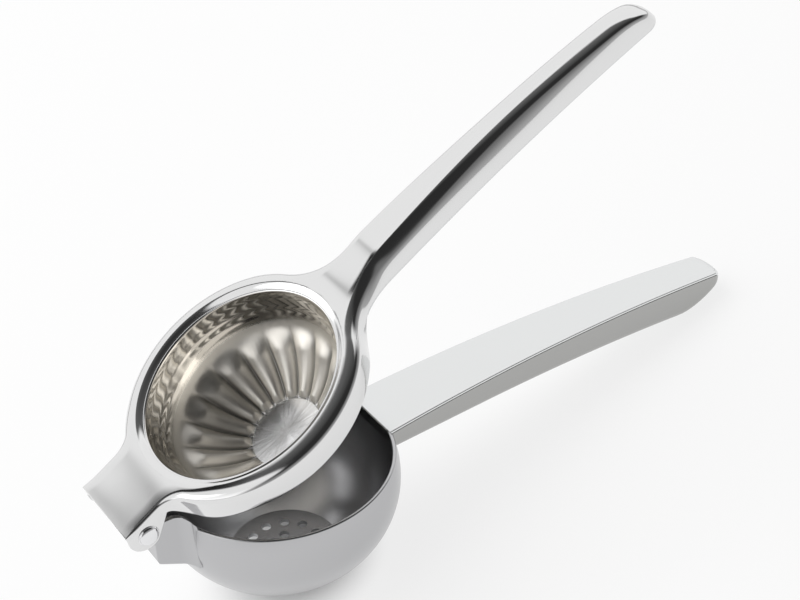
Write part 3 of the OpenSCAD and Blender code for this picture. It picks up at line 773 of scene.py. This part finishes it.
# The plate's edge is broken along the sides and turned down over the end of the shell.
BEND = 3.0
bend_turn = np.radians(np.linspace(0, 90, 9))
at_end = ease(0.1, 0.8, -low_inward[:, 0])
seam = PLATE_T + 0.9 * at_end
edge_in, edge_down = 0.3 + 1.5 * at_end, 0.3 + 1.25 * at_end
lower_handle(
    "boxed_handle",
    [(BEND + 0.1, from_bottom(1.2)), (1.2, from_bottom(3.2)), (1.2, from_top(seam + 0.3)),
     (1.0, from_top(seam + 0.12)), (0.3, from_top(seam + 0.12)), (0.07, from_top(seam + 0.2)),
     (0, from_top(seam + 0.4)), (0, from_top(seam + 0.55))]
    + [(BEND * (1 - math.cos(a)), from_bottom(BEND * (1 - math.sin(a)))) for a in bend_turn],
    shell_steel_painted_dark, "lower_handle_shell",
)
lower_handle(
    "cover_plate",
    [(edge_in * (1 - math.cos(a)), from_top(edge_down * (1 - math.sin(a))))
     for a in np.radians(np.linspace(90, 0, 10))]
    + [(0, from_top(seam - 0.14)), (0.12, from_top(seam)), (1.2, from_top(seam))],
    plate_steel, "lower_handle_plate",
)

# ---- Bowl ----

BOWL_T = 1.2
RIM_Z = -4.9
RIM_ROLL = 0.6
LUG_OPENING = math.radians(161.8)
LUG_HALF_W, FLARE_R = 11.5, 4.0
FLARE_Y = LUG_HALF_W + FLARE_R
FLARE_X = BOWL_X - math.sqrt((BOWL_R + FLARE_R) ** 2 - FLARE_Y**2)
# How far a corner of the CAD mesh may be from the surface on which it was drawn
ON_SURFACE = 0.06
# Least cosines between a face and the normals at its corners, and between normals to average
SAME_FACE, SAME_SIDE = 0.93, 0.5


def wall_normal(r, z, turn, inset):
    """Outward normal of the bowl's rounded wall at a height, or of its inner face."""
    slope = (z - BOWL_BELLY_Z) / (BOWL_DEPTH - inset) ** 2
    across = r / (BOWL_R - inset) ** 2
    sign = -1 if inset else 1
    return Vector((across * math.cos(turn), across * math.sin(turn), slope)).normalized() * sign


def wall_radius(z, inset):
    depth = BOWL_DEPTH - inset
    return (BOWL_R - inset) * math.sqrt(max(0, 1 - ((z - BOWL_BELLY_Z) / depth) ** 2))


def flare_normal(x, y):
    """Outward normal of the fillet between a cheek of the lug and the wall, or None off it."""
    across = math.copysign(FLARE_Y, y)
    away = math.hypot(x - FLARE_X, y - across)
    if abs(away - FLARE_R) > ON_SURFACE or x < FLARE_X - 0.05 or abs(y) > FLARE_Y:
        return None
    return Vector((FLARE_X - x, across - y, 0)) / away


def surface_normal(x, y, z, surface):
    """Exact outward normal on the wall's outside, its inside or the flare, or None off it."""
    if surface == "flare":
        return flare_normal(x, y)
    inset = 0 if surface == "outside" else BOWL_T
    r = math.hypot(x - BOWL_X, y)
    if abs(r - wall_radius(z, inset)) > ON_SURFACE:
        return None
    return wall_normal(r, z, math.atan2(y, x - BOWL_X), inset)


def bowl_shell():
    """The CAD bowl with exact normals on its rounded faces, lowered where the rim is rolled."""
    mesh = frame["nodes"]["bowl"].data.copy()
    mesh.name = "drawn_bowl"
    mesh.transform(LOWER.inverted())
    for vertex in mesh.vertices:
        x, y, z = vertex.co
        r = math.hypot(x - BOWL_X, y)
        if abs(z - RIM_Z) < 0.01:
            inset = 0 if r > wall_radius(RIM_Z, BOWL_T / 2) else BOWL_T
            if abs(r - wall_radius(RIM_Z, inset)) < 0.05:
                scale = wall_radius(RIM_Z - RIM_ROLL, inset) / r
                vertex.co = (BOWL_X + (x - BOWL_X) * scale, y * scale, RIM_Z - RIM_ROLL)
    mesh.shade_smooth()
    mesh.set_sharp_from_angle(angle=math.radians(25))
    mesh.update()
    normals = [Vector(n.vector) for n in mesh.corner_normals]
    exact, at_vertex = {}, {}
    for face in mesh.polygons:
        for surface in ("outside", "inside", "flare"):
            found = [(corner, surface_normal(*mesh.vertices[mesh.loops[corner].vertex_index].co,
                                             surface)) for corner in face.loop_indices]
            if all(n is not None and n.dot(face.normal) > SAME_FACE for _, n in found):
                for corner, n in found:
                    exact[corner] = n
                    at_vertex.setdefault(mesh.loops[corner].vertex_index, []).append(n)
                break
    for corner, n in exact.items():
        # Where the flare meets the wall their normals are averaged
        shared = [m for m in at_vertex[mesh.loops[corner].vertex_index] if m.dot(n) > SAME_SIDE]
        normals[corner] = sum(shared, Vector()).normalized()
    mesh.normals_split_custom_set([tuple(n) for n in normals])
    mesh.transform(LOWER)
    piece = bpy.data.objects.new("drawn_bowl", mesh)
    bpy.context.scene.collection.objects.link(piece)
    mesh.materials.clear()
    mesh.materials.append(bowl_steel)
    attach(piece, "lower_arm")
    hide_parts("bowl")


def bowl_rim():
    """The rolled edge of the bowl, from one cheek of the lug round to the other."""
    outer = wall_radius(RIM_Z - RIM_ROLL, 0)
    inner = wall_radius(RIM_Z - RIM_ROLL, BOWL_T)
    middle, half = (outer + inner) / 2, (outer - inner) / 2
    turns = np.linspace(-LUG_OPENING, LUG_OPENING, 240)
    rows = []
    for a in np.radians(np.linspace(0, 180, 11)):
        r = middle + half * math.cos(a)
        z = RIM_Z - RIM_ROLL + RIM_ROLL * math.sin(a)
        rows.append(np.stack([BOWL_X + r * np.cos(turns), r * np.sin(turns),
                              np.full_like(turns, z)], 1))
    build("bowl_rim", "lower_arm", LOWER, [(np.array(rows), False, 0)],
          [bowl_steel], [])


bowl_shell()
bowl_rim()

# ---- Rivet ----

HEAD_R, HEAD_H, HEAD_EDGE, HEAD_FOOT = 3.2, 1.3, 0.3, 0.2
PIN_R, NECK_R, NECK_LEN = 2.0, 1.4, 0.7


def rivet_part(name, profile, node):
    """A body turned about the hinge axis from (radius, y) points."""
    a = np.linspace(0, 2 * math.pi, 72, endpoint=False)
    grid = np.array([np.stack([r * np.cos(a), np.full_like(a, y), r * np.sin(a)], 1)
                     for r, y in profile])
    build(name, "press_arm", UPPER, [(grid, True, 0)], [rivet_steel], [node])


def dome(side):
    """From the middle of the head to its undercut foot on the ear."""
    a = np.radians(np.linspace(1, 90, 18))
    rise = HEAD_EDGE + (HEAD_H - HEAD_EDGE) * np.cos(a)
    points = list(zip((HEAD_R - 0.3) * np.sin(a), rise))
    points += [(HEAD_R - 0.26, HEAD_FOOT), (HEAD_R - 0.12, HEAD_FOOT),
               (HEAD_R, HEAD_FOOT / 2), (HEAD_R - 0.1, 0.0)]
    return [(r, side * (PLATE_HALF_W + h)) for r, h in points]


neck = [(NECK_R, PLATE_HALF_W), (NECK_R, PLATE_HALF_W + NECK_LEN),
        (AXIS_R, PLATE_HALF_W + NECK_LEN)]
shank = [(PIN_R, -PLATE_HALF_W), (PIN_R, PLATE_HALF_W)]
rivet_part("rivet", [*dome(-1), *shank, *neck], "hinge_pin")
rivet_part("rivet_cap", [*dome(1), *neck], "hinge_rivet_cap")

# ---- CAD nodes that keep their own shape ----

for node in ("hinge_spacer", "hinge_washer_near", "hinge_washer_far"):
    mesh = frame["nodes"][node].data
    mesh.materials.clear()
    mesh.materials.append(plate_steel)

# ---- Studio ----

FLOOR_SIZE = 40.0
# The floor is white to the eye and in the steel, except in the shadow under the bowl
WHITE_SHARE = 0.8
SHADOW_ZONE = 0.010, 0.032


def floor():
    mesh = bpy.data.meshes.new("studio_floor")
    s = FLOOR_SIZE / 2
    mesh.from_pydata([(-s, -s, 0), (s, -s, 0), (s, s, 0), (-s, s, 0)], [], [(0, 1, 2, 3)])
    piece = bpy.data.objects.new("studio_floor", mesh)
    bpy.context.scene.collection.objects.link(piece)
    material = bpy.data.materials.new("studio_floor")
    material.use_nodes = True
    nodes, links = material.node_tree.nodes, material.node_tree.links
    nodes.clear()
    out = nodes.new("ShaderNodeOutputMaterial")
    lit = nodes.new("ShaderNodeBsdfDiffuse")
    lit.inputs["Color"].default_value = (0.9, 0.9, 0.9, 1)
    white = nodes.new("ShaderNodeEmission")
    white.inputs["Color"].default_value = (1, 1, 1, 1)
    path = nodes.new("ShaderNodeLightPath")
    seen = nodes.new("ShaderNodeMixShader")
    links.new(lit.outputs["BSDF"], seen.inputs[1])
    links.new(white.outputs["Emission"], seen.inputs[2])

    place = nodes.new("ShaderNodeTexCoord").outputs["Object"]
    from_bowl = vector_node(nodes, "DISTANCE", place, (stand_x, 0, 0)).outputs["Value"]
    clear = smooth_range(nodes, from_bowl, *SHADOW_ZONE)
    looked_at = chain(nodes, "MAXIMUM", *[path.outputs[key] for key in (
        "Is Camera Ray", "Is Glossy Ray", "Is Transmission Ray")])
    links.new(product(nodes, clear, looked_at, WHITE_SHARE), seen.inputs["Fac"])
    links.new(seen.outputs["Shader"], out.inputs["Surface"])
    mesh.materials.append(material)


WALL_LIGHT, WINDOW_LIGHT, CEILING_LIGHT = 1.0, 0.95, 0.13
# The room in front grows darker from the floor up, and drops at a sharp edge
ROOM_LOW, ROOM_HIGH, ROOM_DROP = 0.45, 0.17, -0.15
ROOM_EDGE = 0.48, 0.56
AMBIENT = 0.01


def world():
    """Light by direction: x, y and z are the parts of the direction looked in."""
    studio = bpy.data.worlds.new("studio")
    bpy.context.scene.world = studio
    studio.use_nodes = True
    nodes, links = studio.node_tree.nodes, studio.node_tree.links
    nodes.clear()
    out = nodes.new("ShaderNodeOutputWorld")
    back = nodes.new("ShaderNodeBackground")
    place = nodes.new("ShaderNodeTexCoord")
    split = nodes.new("ShaderNodeSeparateXYZ")
    links.new(place.outputs["Generated"], split.inputs["Vector"])
    x, y, z = (split.outputs[key] for key in "XYZ")

    # A light wall behind the object, dark overhead, and a window on the left
    behind = smooth_range(nodes, y, 0.0, 0.25)
    over_floor = smooth_range(nodes, z, -0.02, 0.12)
    # The wall's upper left part is left out
    lit = chain(nodes, "MAXIMUM", smooth_range(nodes, x, -0.35, -0.27),
                smooth_range(nodes, z, 0.64, 0.60))
    wall = product(nodes, behind, over_floor,
                   smooth_range(nodes, z, 0.78, 0.84, WALL_LIGHT, 0.0), lit)
    window = product(nodes, over_floor,
                     smooth_range(nodes, x, -0.54, -0.47, WINDOW_LIGHT, 0.0),
                     smooth_range(nodes, z, 0.87, 0.92, 1.0, 0.0),
                     smooth_range(nodes, y, -0.6, -0.3))
    ceiling = product(nodes, smooth_range(nodes, y, 0.6, -0.3, CEILING_LIGHT, 0.0),
                      smooth_range(nodes, z, 0.70, 0.84))
    room = total(nodes, smooth_range(nodes, z, 0.0, 0.50, ROOM_LOW, ROOM_HIGH),
                 smooth_range(nodes, z, *ROOM_EDGE, 0.0, ROOM_DROP))
    room = product(nodes, room, one_minus(nodes, behind))

    back.inputs["Color"].default_value = (1, 1, 1, 1)
    links.new(total(nodes, AMBIENT, wall, window, ceiling, room), back.inputs["Strength"])
    links.new(back.outputs["Background"], out.inputs["Surface"])


def softbox(name, place, size, power, aim=(0, 0, 0.05)):
    """A square lamp that reflections don't show."""
    data = bpy.data.lights.new(name, "AREA")
    data.shape = "SQUARE"
    data.size = size
    data.energy = power
    lamp = bpy.data.objects.new(name, data)
    lamp.location = place
    lamp.rotation_mode = "QUATERNION"
    lamp.rotation_quaternion = (Vector(aim) - Vector(place)).to_track_quat("-Z", "Y")
    bpy.context.scene.collection.objects.link(lamp)
    lamp.visible_glossy = False


floor()
world()
softbox("overhead_softbox", place=(-0.3, 0.5, 1.2), size=1.2, power=12)

# ---- Camera ----

LENS_MM, SENSOR_MM = 90, 36
CLIP = 0.05, 60
# Directions, and place in metres, in the lower arm's frame, which leans by the stance
CAMERA_BACK = Vector((-0.4148692, -0.7007032, 0.5804297))
CAMERA_RIGHT = Vector((0.8377540, -0.5430832, -0.0568231))
CAMERA_FROM_HINGE = Vector((-0.1470935, -0.4059714, 0.3675306))

data = bpy.data.cameras.new("camera")
data.lens, data.sensor_width = LENS_MM, SENSOR_MM
data.clip_start, data.clip_end = CLIP
camera = bpy.data.objects.new("camera", data)
axes = Matrix((CAMERA_RIGHT, CAMERA_BACK.cross(CAMERA_RIGHT), CAMERA_BACK)).transposed()
camera.matrix_world = (
    Matrix.Translation(hinge_at) @ TILT @ Matrix.Translation(CAMERA_FROM_HINGE) @ axes.to_4x4()
)
bpy.context.scene.collection.objects.link(camera)
bpy.context.scene.camera = camera
bpy.context.scene.view_settings.view_transform = "Standard"

bpy.context.view_layer.update()
